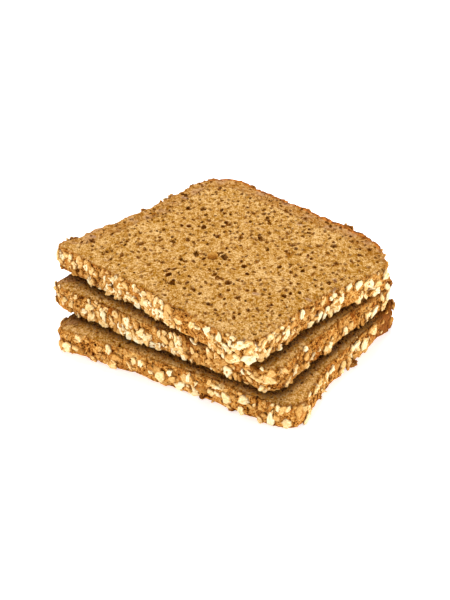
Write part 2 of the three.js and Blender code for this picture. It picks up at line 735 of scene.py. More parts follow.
@dataclass(frozen=True)
class Bubbles:
    """Gas bubbles of one size class, cut open by the knife."""

    count: int
    smallest: float  # radius in mm
    largest: float
    rings: int  # subdivisions of the ball that makes one
    from_crust: float  # how close to the crust they come, in mm
    lumpy: float = 0.0  # how far the wall strays from a ball, as a share of the radius
    reach: float = 60.0  # how far in from the crust they go, in mm


@dataclass(frozen=True)
class Hole:
    """One large bubble with a known place on a cut face, in the slice's own axes, in mm."""

    x: float
    y: float
    wide: float
    tall: float
    turn: float = 0.0


@dataclass(frozen=True)
class Swelling:
    """A place where the crust stands out, or in, below zero."""

    along: float  # mm along the crust
    width: float  # how far it spreads to each side, in mm
    out: float  # in mm


@dataclass
class Slice:
    """One slice of the loaf."""

    name: str
    node: str
    turn: float  # degrees about +Z, as the CAD slice is turned
    seed: int
    upper: Sequence[Bubbles]
    lower: Sequence[Bubbles]
    holes: Sequence[Hole] = ()
    swellings: Sequence[Swelling] = ()
    browned: tuple[float, float] = (184.0, 290.0)  # the stretch of crust that baked brown, in mm along it
    lid: tuple[str, float] | None = None  # the node and the turn of the slice that lies on this one
    crust_pits: int = 70
    nicks: tuple[int, int] = (110, 60)  # crumbs torn out of the upper and of the lower edge
    rise: float = 34.0  # the way that the bubbles are drawn out, in degrees from +Y
    grain: float = 1.2  # side of one facet of the plain slice, in mm; near the crust they are half of that
    fine_to: float = 2.2  # how far inside the crust the facets are small, in mm
    set_back: float = -0.2  # how far the crust stays inside the CAD outline
    crumbled: float = 0.3  # how far the edges are rounded off
    shade: tuple[float, float] = (-3.9, -0.1)  # where the painted shade under the slice above starts and is full, in mm inside that slice's outline
    creased: float = 48.0  # edges sharper than this, in degrees, look sharp
    line: CrustLine = field(init=False)
    piece: bpy.types.Object = field(init=False)
    surface: BVHTree = field(init=False)

    def __post_init__(self) -> None:
        """Reads the crust line and seeds the dice."""
        self.line = CrustLine(self.node, self.turn)
        self.dice = np.random.default_rng(self.seed)

    def build(self) -> bpy.types.Object:
        """Shapes the slice.

        Returns:
            The finished piece, with the numbers that its finish reads.
        """
        mesh = self.plain_slice()
        self.roughen(mesh)
        self.surface = BVHTree.FromPolygons(
            [v.co / MM for v in mesh.vertices], [p.vertices[:] for p in mesh.polygons]
        )
        mesh = self.open_bubbles(mesh)
        self.mark(mesh)
        mesh.name = self.name
        self.piece = add_object(self.name, mesh)
        return self.piece

    def plain_slice(self) -> bpy.types.Mesh:
        """Covers a copy of the CAD slice with small even facets.

        Returns:
            The mesh.
        """
        bm = bmesh.new()
        bm.from_mesh(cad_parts[self.node].data)
        bmesh.ops.remove_doubles(bm, verts=bm.verts, dist=0.001 * MM)
        helper = add_object("plain_slice", finished_mesh(bm, "plain_slice"))
        remesh = helper.modifiers.new("facets", "REMESH")
        remesh.mode = "VOXEL"
        remesh.voxel_size = self.grain * MM
        result = settled_mesh(helper)
        remove_object(helper)
        self._refine_crust(result)
        return result

    def _refine_crust(self, mesh: bpy.types.Mesh) -> None:
        """Halves the facets on and near the crust, where the shape is rougher.

        Args:
            mesh: the slice, which is changed.
        """
        near, _, _ = self.line.measure(vertex_places(mesh)[:, :2])
        bm = bmesh.new()
        bm.from_mesh(mesh)
        edges = [e for e in bm.edges if all(near[v.index] < self.fine_to for v in e.verts)]
        bmesh.ops.subdivide_edges(bm, edges=edges, cuts=1, use_grid_fill=True)
        bmesh.ops.triangulate(bm, faces=[f for f in bm.faces if len(f.verts) > 4])
        bm.to_mesh(mesh)
        bm.free()

    def roughen(self, mesh: bpy.types.Mesh) -> None:
        """Gives the plain slice its uneven crust, its crumbled edges and its torn cut faces.

        Args:
            mesh: the slice, which is changed.
        """
        places = vertex_places(mesh)
        inside, outward, along = self.line.measure(places[:, :2])
        middle = (self.line.floor + self.line.ceiling) / 2
        level = (places[:, 2] - middle) / (self.line.thickness / 2)
        by_crust = ease(inside, 4.0, 0.0)
        by_face = ease(abs(level), 0.8, 0.95)
        rugged = 1 + 0.7 * self._at_the_back(outward)
        crumbled = abs(level) ** 5 * self.crumbled * (1 + 0.6 * lumps(places, 2.4, self.seed + 1))
        bumps = 0.45 * lumps(places, 7.5, self.seed + 2) + 0.3 * lumps(places, 3.1, self.seed + 3) * rugged
        bumps = bumps + 0.32 * lumps(places, 1.5, self.seed + 4) * rugged
        cracks = ease(abs(lumps(places, 3.6, self.seed + 11)), 0.22, 0.0) * 0.9
        bumps = bumps + cracks * ease(lumps(places, 9.0, self.seed + 12), -0.3, 0.3)
        inwards = np.maximum(self.set_back + crumbled + bumps * ease(inside, 4.0, 0.5), -1.0)
        places[:, :2] -= outward * (by_crust * (inwards - self._swelling(along)))[:, None]
        torn = 0.1 + 0.1 * lumps(places, 2.3, self.seed + 5) + 0.08 * lumps(places, 1.2, self.seed + 6)
        droop = ease(inside, 1.4, 0.0) * (0.05 + 0.3 * lumps(places, 2.0, self.seed + 7))
        places[:, 2] -= np.sign(level) * by_face * np.maximum(torn + np.maximum(droop, 0), 0)
        move_vertices(mesh, places)

    @property
    def squeeze(self) -> np.ndarray:
        """Turns steps so that their Y is the way the bubbles are drawn out, and shortens them that way.

        Returns:
            The matrix to multiply rows of steps with.
        """
        angle = math.radians(self.rise - self.turn)
        across, drawn = (math.cos(angle), math.sin(angle)), (-math.sin(angle), math.cos(angle))
        return np.array([across, np.array(drawn) * 0.66]).T

    def _swelling(self, along: np.ndarray) -> np.ndarray:
        """How far the crust stands out.

        Args:
            along: places along the crust, in mm.

        Returns:
            The height over the plain crust at each place, in mm.
        """
        total = np.zeros(len(along))
        for swelling in self.swellings:
            away = (along - swelling.along + self.line.length / 2) % self.line.length - self.line.length / 2
            total += swelling.out * np.exp(-((away / swelling.width) ** 2))
        return total

    def _at_the_back(self, outward: np.ndarray) -> np.ndarray:
        """How far each outward direction is that of the domed top or of the left side, from 0 to 1."""
        domed, left = outward @ self.line.axes[1], outward @ -self.line.axes[0]
        return np.maximum(ease(domed, 0.3, 0.8), ease(left, 0.3, 0.8) * 0.8)

    def _scatter(self, kind: Bubbles, face: Face) -> list[tuple[np.ndarray, np.ndarray]]:
        """Places for the bubbles of one kind on one face.

        Args:
            kind: the bubbles.
            face: the cut face that they open on.

        Returns:
            The middle of each bubble in the model's frame and its three radii, in mm.
        """
        found: list[tuple[np.ndarray, np.ndarray]] = []
        taken = np.empty((0, 3))
        tries = self.dice.uniform(-1, 1, (kind.count * TRIES, 2)) * self.line.half
        places = self.line.from_slice(tries)
        inside, _, _ = self.line.measure(places)
        luck = self.dice.uniform(0, 1, len(places))
        open_crumb = ease(inside, kind.from_crust, kind.from_crust + 9) * 0.45 + 0.55
        open_crumb = open_crumb * (0.75 + 0.35 * lumps(places, 11.0, self.seed + 8 + face.value))
        keep = (inside > kind.from_crust) & (inside < kind.reach) & (luck < open_crumb)
        for spot, place, depth in zip(tries[keep], places[keep], inside[keep]):
            if len(found) == kind.count:
                break
            radius = kind.smallest + (kind.largest - kind.smallest) * self.dice.uniform() ** 1.8
            radius *= 0.8 + 0.2 * min(depth / 15, 1.0)
            reach = radius * 1.08 + 0.05
            gap = (taken[:, :2] - spot) @ self.squeeze
            if (np.hypot(*gap.T) < taken[:, 2] + reach).any():
                continue
            taken = np.vstack([taken, [*spot, reach]])
            radii = radius * self.dice.uniform([0.7, 1.05, 0.7], [1.0, 1.55, 1.0])
            top = self.line.ceiling if face is Face.UPPER else self.line.floor
            sunk = face.value * (0.1 + radii[2] * self.dice.uniform(-0.35, 0.25))
            found.append((np.array([*place, top - sunk]), radii))
        return found

    def _carver(self, balls: Sequence[Ball], rings: int = 2, lumpy: float = 0.25) -> bpy.types.Mesh:
        """Balls, each squashed and turned, as one mesh.

        Args:
            balls: the middle, the radii and the turn of each one.
            rings: subdivisions of each ball.
            lumpy: how far their walls stray from a ball, as a share of the radius.

        Returns:
            The mesh.
        """
        bm = bmesh.new()
        bmesh.ops.create_icosphere(bm, subdivisions=rings, radius=1.0)
        blank = finished_mesh(bm, "ball")
        mesh = repeated(blank, len(balls), "carver")
        unit = vertex_places(blank)[None] * MM
        bpy.data.meshes.remove(blank)
        middles = np.array([ball[0] for ball in balls])[:, None]
        radii = np.array([ball[1] for ball in balls])[:, None]
        tilts = self.dice.normal(0, 0.2, (len(balls), 2))
        turns = np.array([Euler((*tilt, ball[2])).to_matrix() for tilt, ball in zip(tilts, balls)])
        spots = (unit + middles).reshape(-1, 3)
        stray = lumps(spots, 0.8, self.seed + 9) * 0.7 + lumps(spots, 0.45, 5) * 0.5
        unit = unit * (1 + lumpy * stray.reshape(len(balls), -1, 1))
        move_vertices(mesh, (np.einsum("bij,bvj->bvi", turns, unit * radii) + middles).reshape(-1, 3))
        return mesh

    def _along_crust(self, count: int) -> list[tuple[np.ndarray, np.ndarray]]:
        """Points on the crust line, each with its outward direction, that keep clear of each other."""
        ways = (np.arange(count) + self.dice.uniform(-0.2, 0.2, count)) * self.line.length / count
        return [self.line.at(way) for way in ways]

    def _pits(self) -> list[Ball]:
        """Bubbles that broke through the crust.

        Returns:
            The balls that carve them.
        """
        pits = []
        for point, outward in self._along_crust(self.crust_pits):
            height = self.line.floor + self.dice.uniform(0.2, 0.8) * self.line.thickness
            radii = self.dice.uniform([0.5, 0.4, 0.5], [1.2, 1.0, 1.4])
            middle = point - outward * (self.set_back + self.dice.uniform(-0.2, 0.5))
            pits.append((np.array([*middle, height]), radii, math.atan2(outward[1], outward[0])))
        return pits

    def _nicks(self, face: Face, count: int) -> list[Ball]:
        """Crumbs that the knife tore out of one edge.

        Args:
            face: the cut face that the edge belongs to.
            count: how many crumbs.

        Returns:
            The balls that carve them.
        """
        nicks = []
        top = self.line.ceiling if face is Face.UPPER else self.line.floor
        for point, outward in self._along_crust(count):
            size = 0.6 + 0.6 * self.dice.uniform() ** 2
            radii = size * self.dice.uniform([0.7, 0.55, 0.5], [1.3, 0.95, 0.9])
            middle = point - outward * (self.set_back + self.dice.uniform(0.0, 0.9))
            height = top - face.value * self.dice.uniform(-0.2, 0.3)
            nicks.append((np.array([*middle, height]), radii, math.atan2(outward[1], outward[0])))
        return nicks

    def open_bubbles(self, mesh: bpy.types.Mesh) -> bpy.types.Mesh:
        """Cuts every bubble out of the slice.

        Args:
            mesh: the roughened slice.

        Returns:
            The slice with its crumb open.
        """
        helper = add_object("whole_slice", mesh)
        carvers = []
        rise = math.radians(self.rise)
        for upper, lower in zip(self.upper, self.lower):
            balls = self._scatter(upper, Face.UPPER) + self._scatter(lower, Face.LOWER)
            turned = [(*ball, rise + self.dice.normal(0, 0.45)) for ball in balls]
            carvers.append(self._carver(turned, upper.rings, upper.lumpy))
        placed = []
        for hole in self.holes:
            middle = self.line.from_slice(np.array([hole.x, hole.y]))
            deep = 0.45 * (hole.wide + hole.tall) / 2
            radii = np.array([hole.wide / 2, hole.tall / 2, deep])
            place = np.array([*middle, self.line.ceiling - 0.25 * deep])
            placed.append((place, radii, rise + math.radians(hole.turn)))
        if placed:
            carvers.append(self._carver(placed, 4, 0.3))
        carvers.append(self._carver(self._pits()))
        for face, count in zip(Face, self.nicks):
            carvers.append(self._carver(self._nicks(face, count)))
        tools = []
        for number, carver in enumerate(carvers):
            tool = add_object(f"carver_{number}", carver)
            cut = helper.modifiers.new(tool.name, "BOOLEAN")
            cut.operation, cut.solver, cut.object = "DIFFERENCE", "MANIFOLD", tool
            tools.append(tool)
        result = settled_mesh(helper)
        for tool in (helper, *tools):
            remove_object(tool)
        return result

    def mark(self, mesh: bpy.types.Mesh) -> None:
        """Keeps on the mesh what its finish reads: crust, hollows, denser bands and painted shade under the
        slice above.

        Args:
            mesh: the finished slice.
        """
        places = vertex_places(mesh)
        inside, outward, along = self.line.measure(places[:, :2])
        keep_number(mesh, "skin", inside - self.set_back + np.minimum(self._swelling(along), 0))
        below = np.minimum(self.line.ceiling - places[:, 2], places[:, 2] - self.line.floor)
        keep_number(mesh, "hollow", np.maximum(below - 0.15, 0))
        start, end = self.browned
        wander = along + 3 * lumps(places, 5.0, self.seed + 13)
        keep_number(mesh, "dome_side", ease(wander, start - 4, start + 4) * ease(wander, end + 6, end - 6))
        back = self._at_the_back(outward)
        wander = inside + 1.5 * lumps(places[:, :2], 9.0, self.seed + 10)
        band = ease(wander, 9.0, 6.5) * back + ease(wander, 4.0, 1.0) * 0.15 * (1 - back)
        keep_number(mesh, "packed", band)
        keep_number(mesh, "painted_gap_shade", self._painted_gap_shade(places))
        shade_smooth(mesh, self.creased)

    def _painted_gap_shade(self, places: np.ndarray) -> np.ndarray:
        """Painted shade on the crumb where the slice above covers it or nearly does, strongest at the contact.

        Args:
            places: points on the slice, in mm.

        Returns:
            A number from 0 to 1 for each point.
        """
        if self.lid is None:
            return np.zeros(len(places))
        over, _, _ = CrustLine(*self.lid).measure(places[:, :2])
        return ease(over, *self.shade) * ease(self.line.ceiling - places[:, 2], 3.5, 0.5)

    def dress(self, finish: bpy.types.Material) -> None:
        """Gives the slice its finish and puts it in the CAD slice's place.

        Args:
            finish: the bread's material.
        """
        self.piece.data.materials.clear()
        self.piece.data.materials.append(finish)
        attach(self.piece, "root")
        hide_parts(self.node)


# ------------------------------------------------------------------------------------------------------ oats


@dataclass(frozen=True)
class Drift:
    """A stretch of crust where oats stuck."""

    start: float  # mm along the crust
    end: float
    count: int
    toast: float = 0.45  # how brown they are on average, from 0 to 1
    size: float = 1.0


@dataclass(frozen=True)
class Flake:
    """One rolled oat."""

    along: float  # mm along the crust
    height: float  # mm above the slice's underside
    long: float
    wide: float
    turn: float = 0.0  # of its long side from level, in degrees
    toast: float = 0.1
    lean: float = 0.0  # how far it leans up out of the crust, in degrees
    lift: float = 0.25  # how far its middle stands proud of the crust, in mm
    roll: float = 0.0


@dataclass
class OatCoat:
    """The oats on one slice's crust."""

    name: str
    slice: Slice
    drifts: Sequence[Drift]
    placed: Sequence[Flake] = ()
    thickness: float = 1.25
    proudest: float = 1.1  # how far an oat may stand out from the crust, in mm
    overhang: float = 0.12  # how far one may stick up past a cut face
    clear: float = 0.02  # how far above the slice's underside they stay, in mm
    creased: float = 38.0  # edges sharper than this, in degrees, look sharp
    piece: bpy.types.Object = field(init=False)

    def __post_init__(self) -> None:
        """Seeds the dice from the slice and makes the round blank that every oat is pressed from."""
        self.dice = np.random.default_rng(self.slice.seed + 500)
        bm = bmesh.new()
        bmesh.ops.create_uvsphere(bm, u_segments=12, v_segments=6, radius=1.0)
        self.blank = finished_mesh(bm, "oat_blank")

    def all_flakes(self) -> list[Flake]:
        """The flakes that have a known place, and those that the drifts scatter.

        Returns:
            The flakes, in the order in which they are made.
        """
        flakes = list(self.placed)
        thick = self.slice.line.thickness
        for drift in self.drifts:
            for _ in range(drift.count):
                long = self.dice.uniform(2.9, 5.4) * drift.size
                flakes.append(Flake(
                    along=self.dice.uniform(drift.start, drift.end),
                    height=self.dice.uniform(0.6, thick - 0.5),
                    long=long,
                    wide=long * self.dice.uniform(0.5, 0.85),
                    turn=self.dice.uniform(0, 180),
                    toast=float(np.clip(self.dice.normal(drift.toast, 0.28), 0, 1)),
                    lean=float(np.clip(self.dice.normal(0, 15), -24, 24)),
                    roll=float(np.clip(self.dice.normal(0, 15), -24, 24)),
                    lift=self.dice.uniform(-0.15, 0.4),
                ))
        return flakes

    def _shape(self, bm: bmesh.types.BMesh, flake: Flake, layers: tuple) -> list[bmesh.types.BMVert]:
        """Makes one oat, lying flat with its long side along X.

        Args:
            bm: the mesh that gets it.
            flake: its sizes.
            layers: the mesh layers for the place on the flake and for its toast.

        Returns:
            Its vertices.
        """
        place_layer, toast_layer, _ = layers
        count = len(bm.verts)
        bm.from_mesh(self.blank)
        bm.verts.ensure_lookup_table()
        verts = bm.verts[count:]
        waves = self.dice.uniform(0, 2 * math.pi, 5)
        cup, bend, crease = self.dice.uniform([-0.25, -0.35, 0.1], [0.3, 0.35, 0.5])
        thick = self.thickness * self.dice.uniform(0.75, 1.4)
        start, broken = self.dice.uniform([0, 0.35], [40, 1.1])
        break_x, break_y = math.cos(waves[4]), math.sin(waves[4])
        for vert in verts:
            x, y, z = vert.co
            out, angle = math.hypot(x, y), math.atan2(y, x)
            outline = 1 + 0.15 * math.sin(2 * angle + waves[0]) + 0.15 * math.sin(3 * angle + waves[1])
            outline += 0.13 * math.sin(5 * angle + waves[2])
            x, y = x * outline, y * outline
            past = max(x * break_x + y * break_y - broken, 0.0) * 0.85
            along, across = (x - past * break_x) * flake.long / 2, (y - past * break_y) * flake.wide / 2
            height = math.copysign(abs(z) ** 0.7, z) * thick / 2 + cup * out * out + bend * x * x
            height += 0.2 * math.sin(2.4 * along + waves[3]) * math.sin(2.8 * across + waves[1])
            height -= max(z, 0) * crease * math.exp(-((across / 0.45) ** 2)) * (1 - out * out)
            vert[place_layer] = (along + start, across, out)
            vert[toast_layer] = flake.toast
            vert.co = Vector((along, across, height))
        return verts

    def _settle(self, flake: Flake, verts: Sequence[bmesh.types.BMVert], proud_layer: object) -> None:
        """Presses an oat into the crust.

        Args:
            flake: the oat.
            verts: its vertices, as made flat.
            proud_layer: the mesh layer for how far a point stands out of the crust.
        """
        line = self.slice.line
        point, outward = line.at(flake.along)
        height = line.floor + flake.height
        facing = Vector((*outward, 0.0))
        on_line = Vector((*point, height))
        hit, _, _, _ = self.slice.surface.ray_cast(on_line + facing * PROBE, -facing)
        foot = hit if hit is not None else on_line
        level = Vector((-outward[1], outward[0], 0.0))
        basis = Matrix((level, Vector((0, 0, 1)), facing)).transposed()
        lean = Euler((math.radians(flake.lean), math.radians(flake.roll), 0)).to_matrix()
        turn = Matrix.Rotation(math.radians(flake.turn), 3, "Z")
        pose = basis @ lean @ turn
        spots = [pose @ v.co + foot + facing * flake.lift for v in verts]
        press = max(0.0, max((p - foot).dot(facing) for p in spots) - self.proudest)
        over = max(0.0, max(p.z for p in spots) - line.ceiling - self.overhang)
        under = max(0.0, line.floor + self.clear - min(p.z for p in spots))
        shift = Vector((0, 0, under - over)) - facing * press
        for vert, spot in zip(verts, spots):
            settled = spot + shift
            vert[proud_layer] = (settled - foot).dot(facing)
            settled.z = max(settled.z, line.floor + self.clear)
            vert.co = settled * MM

    def build(self) -> bpy.types.Object:
        """Makes the coat as one piece.

        Returns:
            The piece.
        """
        whole = bmesh.new()
        few = bpy.data.meshes.new("few")
        flakes = self.all_flakes()
        batch = 30
        for first in range(0, len(flakes), batch):
            bm = bmesh.new()
            layers = (
                bm.verts.layers.float_vector.new("flake"),
                bm.verts.layers.float.new("toast"),
                bm.verts.layers.float.new("proud"),
            )
            for flake in flakes[first : first + batch]:
                verts = self._shape(bm, flake, layers)
                self._settle(flake, verts, layers[2])
            bm.to_mesh(few)
            bm.free()
            whole.from_mesh(few)
        bmesh.ops.recalc_face_normals(whole, faces=whole.faces)
        mesh = finished_mesh(whole, self.name)
        bpy.data.meshes.remove(few)
        shade_smooth(mesh, self.creased)
        self.piece = add_object(self.name, mesh)
        return self.piece

    def dress(self, finish: bpy.types.Material) -> None:
        """Gives the oats their finish and fixes them to the stack.

        Args:
            finish: the oats' material.
        """
        self.piece.data.materials.append(finish)
        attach(self.piece, "root")


@dataclass
class Kernel:
    """A whole grain that the knife laid bare in the crumb."""

    name: str
    slice: Slice
    x: float = -1.6  # its middle, in the slice's own axes
    y: float = -9.0
    long: float = 4.8
    wide: float = 5.0
    thick: float = 4.0
    turn: float = 40.0  # of its long side, in degrees
    toast: float = 0.6
    piece: bpy.types.Object = field(init=False)

    def build(self) -> bpy.types.Object:
        """Makes the grain, half sunk into the cut face.

        Returns:
            The piece.
        """
        bm = bmesh.new()
        place_layer = bm.verts.layers.float_vector.new("flake")
        toast_layer = bm.verts.layers.float.new("toast")
        proud_layer = bm.verts.layers.float.new("proud")
        bmesh.ops.create_uvsphere(bm, u_segments=24, v_segments=14, radius=1.0)
        for vert in bm.verts:
            x, y, z = vert.co
            blunt = max(math.hypot(x, y), 0.01) / max((abs(x) ** 3 + abs(y) ** 3) ** (1 / 3), 0.01)
            x, y = x * blunt, y * blunt * (1 - 0.12 * x)
            z -= 0.3 * max(z, 0) * math.exp(-((y / 0.22) ** 2)) * (1 - x * x)
            vert[place_layer] = (x * self.long / 2, y + 1, math.hypot(x, y) * 0.7)
            # browner towards -Y and paler towards +Y
            vert[toast_layer] = self.toast - 0.4 * y
            # painted shade low on the grain, which shows as a dark ring where it meets the crumb
            vert[proud_layer] = 0.16 + z * 0.6
            vert.co = Vector((x * self.long / 2, y * self.wide / 2, z * self.thick / 2)) * MM
        line = self.slice.line
        place = Vector((*line.from_slice(np.array([self.x, self.y])), line.ceiling - self.thick * 0.3))
        turn = Matrix.Rotation(math.radians(self.slice.turn + self.turn), 4, "Z")
        bmesh.ops.transform(bm, matrix=Matrix.Translation(place * MM) @ turn, verts=bm.verts)
        bmesh.ops.recalc_face_normals(bm, faces=bm.faces)
        mesh = finished_mesh(bm, self.name)
        shade_smooth(mesh)
        self.piece = add_object(self.name, mesh)
        return self.piece

    def dress(self, finish: bpy.types.Material) -> None:
        """Gives the grain its finish and fixes it to the stack.

        Args:
            finish: the grain's material.
        """
        self.piece.data.materials.append(finish)
        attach(self.piece, "root")


@dataclass(frozen=True)
class Crumb:
    """A lump of crust or crumb that sticks to a slice's side."""

    along: float  # mm along the crust
    height: float  # mm above the slice's underside
    long: float  # along the crust
    tall: float
    deep: float
    out: float = 0.4  # how far its middle stands out from the crust line


@dataclass
class StuckCrumbs:
    """The lumps that stick to one slice, made of crust all through."""

    name: str
    slice: Slice
    crumbs: Sequence[Crumb]
    browned: float = 0.5
    clear: float = 0.03  # how far above the slice's underside they stay, in mm
    piece: bpy.types.Object = field(init=False)

    def build(self) -> bpy.types.Object:
        """Makes the lumps as one piece.

        Returns:
            The piece.
        """
        line = self.slice.line
        bm = bmesh.new()
        for number, crumb in enumerate(self.crumbs):
            point, outward = line.at(crumb.along)
            height = line.floor + max(crumb.height, crumb.tall * 0.6)
            middle = Vector((*(point + outward * crumb.out), height))
            turn = Matrix.Rotation(math.atan2(outward[1], outward[0]), 4, "Z")
            ball = bmesh.ops.create_icosphere(bm, subdivisions=4, radius=1.0)["verts"]
            unit = np.array([vert.co for vert in ball]) + number * 7
            stray = 0.3 * lumps(unit, 0.9, 3) + 0.22 * lumps(unit, 0.4, 4) + 0.08 * lumps(unit, 0.2, 5)
            for vert, amount in zip(ball, stray):
                shape = vert.co * (1 + amount)
                half = (crumb.deep / 2, crumb.long / 2, crumb.tall / 2)
                vert.co = Vector((shape.x * half[0], shape.y * half[1], shape.z * half[2]))
            bmesh.ops.transform(bm, matrix=Matrix.Translation(middle) @ turn, verts=ball)
        for vert in bm.verts:
            vert.co.z = max(vert.co.z, line.floor + self.clear)
        bmesh.ops.scale(bm, vec=(MM, MM, MM), verts=bm.verts)
        mesh = finished_mesh(bm, self.name)
        numbers = {"skin": 0.1, "hollow": 3.0, "dome_side": self.browned, "packed": 0.0, "painted_gap_shade": 0.0}
        for name, value in numbers.items():
            keep_number(mesh, name, np.full(len(mesh.vertices), value))
        shade_smooth(mesh)
        self.piece = add_object(self.name, mesh)
        return self.piece

    def dress(self, finish: bpy.types.Material) -> None:
        """Gives the lumps their finish and fixes them to the stack.

        Args:
            finish: the bread's material.
        """
        self.piece.data.materials.append(finish)
        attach(self.piece, "root")


# ---------------------------------------------------------------------------------------------------- studio


@dataclass
class Studio:
    """A white table, soft light from above and the camera."""

    azimuth: float = 35.95  # degrees; 0 looks along +Y
    elevation: float = 31.49
    distance: float = 606.0  # mm
    target: tuple[float, float, float] = (-12.92, 13.83, 0.0)
    lens: float = 90.3
    sensor: float = 36.0
    table_side: float = 4.0  # m
    sky: float = 0.2  # strength of the light from overhead
    horizon: float = 0.16  # sine of the angle up to which the studio's walls are full white
    fade: float = 0.07  # how much further up, as a sine, they have dimmed to the light from overhead

    def build(self) -> None:
        """Makes the table, the lights and the camera."""
        bm = bmesh.new()
        bmesh.ops.create_grid(bm, x_segments=1, y_segments=1, size=self.table_side / 2)
        table = add_object("table_top", finished_mesh(bm, "table_top"))
        table.data.materials.append(TableFinish().material("table_white"))
        self._sky()
        self._lamp("soft_box", (-0.42, 0.6, 1.15), 0.7, 20.0)
        self._lamp("left_reflector", (-0.55, -1.2, 0.32), 0.7, 12.0)
        self._lamp("right_reflector", (1.3, 0.1, 0.32), 0.7, 13.0)
        self._camera()
        bpy.context.scene.view_settings.view_transform = "Standard"

    def _sky(self) -> None:
        """Plain white light from all round: a bright horizon and a dimmer dome."""
        world = bpy.data.worlds.new("studio_white")
        world.use_nodes = True
        tree = world.node_tree
        direction = tree.nodes.new("ShaderNodeTexCoord")
        parts = tree.nodes.new("ShaderNodeSeparateXYZ")
        fade = tree.nodes.new("ShaderNodeMapRange")
        fade.interpolation_type = "SMOOTHSTEP"
        top = self.horizon + self.fade
        values = {"From Min": self.horizon, "From Max": top, "To Min": 1.0, "To Max": self.sky}
        for name, value in values.items():
            fade.inputs[name].default_value = value
        backdrop = tree.nodes["Background"]
        backdrop.inputs["Color"].default_value = (1.0, 1.0, 1.0, 1.0)
        tree.links.new(direction.outputs["Generated"], parts.inputs["Vector"])
        tree.links.new(parts.outputs["Z"], fade.inputs["Value"])
        tree.links.new(fade.outputs["Result"], backdrop.inputs["Strength"])
        bpy.context.scene.world = world

    @staticmethod
    def _lamp(name: str, place: tuple[float, float, float], side: float, power: float) -> None:
        """Hangs a square soft light that points at the stack.

        Args:
            name: the light's name.
            place: where it hangs, in metres.
            side: its size in metres.
            power: in watts.
        """
        data = bpy.data.lights.new(name, "AREA")
        data.size = side
        data.energy = power
        lamp = bpy.data.objects.new(name, data)
        lamp.location = place
        lamp.rotation_euler = (-Vector(place)).to_track_quat("-Z", "Y").to_euler()
        bpy.context.scene.collection.objects.link(lamp)

    def _camera(self) -> None:
        """Sets the camera up."""
        around, up = math.radians(self.azimuth), math.radians(self.elevation)
        back = Vector((math.sin(around) * math.cos(up), -math.cos(around) * math.cos(up), math.sin(up)))
        data = bpy.data.cameras.new("camera")
        data.lens, data.sensor_width = self.lens, self.sensor
        camera = bpy.data.objects.new("camera", data)
        camera.location = (Vector(self.target) + back * self.distance) * MM
        camera.rotation_euler = back.to_track_quat("Z", "Y").to_euler()
        bpy.context.scene.collection.objects.link(camera)
        bpy.context.scene.camera = camera


# ------------------------------------------------------------------------------------------------ the object

UNDERSIDE = (
    Bubbles(6, 1.0, 1.5, 3, 6.0, 0.3),
    Bubbles(70, 0.65, 1.05, 2, 3.0, 0.2),
    Bubbles(60, 0.5, 0.8, 2, 2.4, 0.15),
    Bubbles(30, 0.4, 0.6, 1, 1.6),
)
OPEN_FACE = (
    Bubbles(44, 1.1, 1.6, 3, 4.5, 0.35),
    Bubbles(400, 0.82, 1.2, 2, 2.4, 0.28),
    Bubbles(330, 0.6, 0.85, 2, 1.2, 0.2),
    Bubbles(240, 0.45, 0.65, 1, 0.7, 0.1, 9.5),
)
COVERED_FACE = (
    Bubbles(10, 0.9, 1.3, 3, 5.0, 0.35, 22.0),
    Bubbles(200, 0.8, 1.15, 2, 2.2, 0.28, 22.0),
    Bubbles(240, 0.6, 0.85, 2, 1.2, 0.2, 22.0),
    Bubbles(220, 0.45, 0.65, 1, 0.7, 0.1, 9.5),
)
TOP_HOLES = (
    Hole(2.2, -6.6, 2.8, 4.6),
    Hole(-1.4, -8.8, 5.4, 5.6),
    Hole(-7.0, -12.5, 2.4, 4.6, 10),
    Hole(12.5, -6.5, 2.2, 3.0),
    Hole(-31.0, 15.0, 2.8, 4.0),
    Hole(-25.0, 1.0, 2.4, 3.2),
    Hole(-20.0, 4.5, 2.2, 3.8, 10),
    Hole(-11.0, 3.0, 2.0, 3.0),
    Hole(-20.0, -12.0, 1.8, 3.0, 10),
    Hole(-17.5, -7.0, 1.8, 3.2),
    Hole(-8.0, -19.5, 1.8, 2.6),
    Hole(2.0, 13.5, 2.0, 5.0, 10),
    Hole(10.0, 9.0, 1.5, 2.8),
    Hole(12.5, 30.0, 2.6, 2.2),
    Hole(26.5, 29.0, 2.8, 3.4),
    Hole(16.5, -19.0, 2.8, 3.2),
    Hole(2.0, -34.0, 2.8, 3.6, -10),
    Hole(-6.0, -29.5, 1.8, 2.2),
    Hole(43.0, 7.0, 2.2, 2.6),
    Hole(37.5, -11.5, 2.6, 2.2),
    Hole(38.5, -19.5, 2.0, 2.0),
    Hole(-16.5, 13.5, 1.8, 2.8),
    Hole(30.5, 6.5, 1.8, 2.6),
)
OATS_ON_TOP = (
    Flake(6.0, 8.0, 4.2, 2.2, 70, 0.15, 10),
    Flake(15.0, 7.5, 4.0, 2.6, 90, 0.12, 5),
    Flake(98.5, 2.6, 6.0, 4.6, 30, 0.0, -14, 0.6),
    Flake(156.5, 8.0, 4.8, 3.6, 30, 0.0, 12, 0.5),
    Flake(162.5, 6.5, 4.8, 3.8, 140, 0.0, 8, 0.5),
    Flake(165.5, 3.0, 5.2, 2.4, 60, 0.05, 6, 0.5),
    Flake(140.5, 2.2, 5.6, 2.8, 60, 0.0, 8, 0.55),
    Flake(136.5, 3.4, 4.8, 2.4, 70, 0.05, 4, 0.5),
    Flake(170.0, 8.0, 4.4, 2.0, 70, 0.1, 4, 0.4),
)
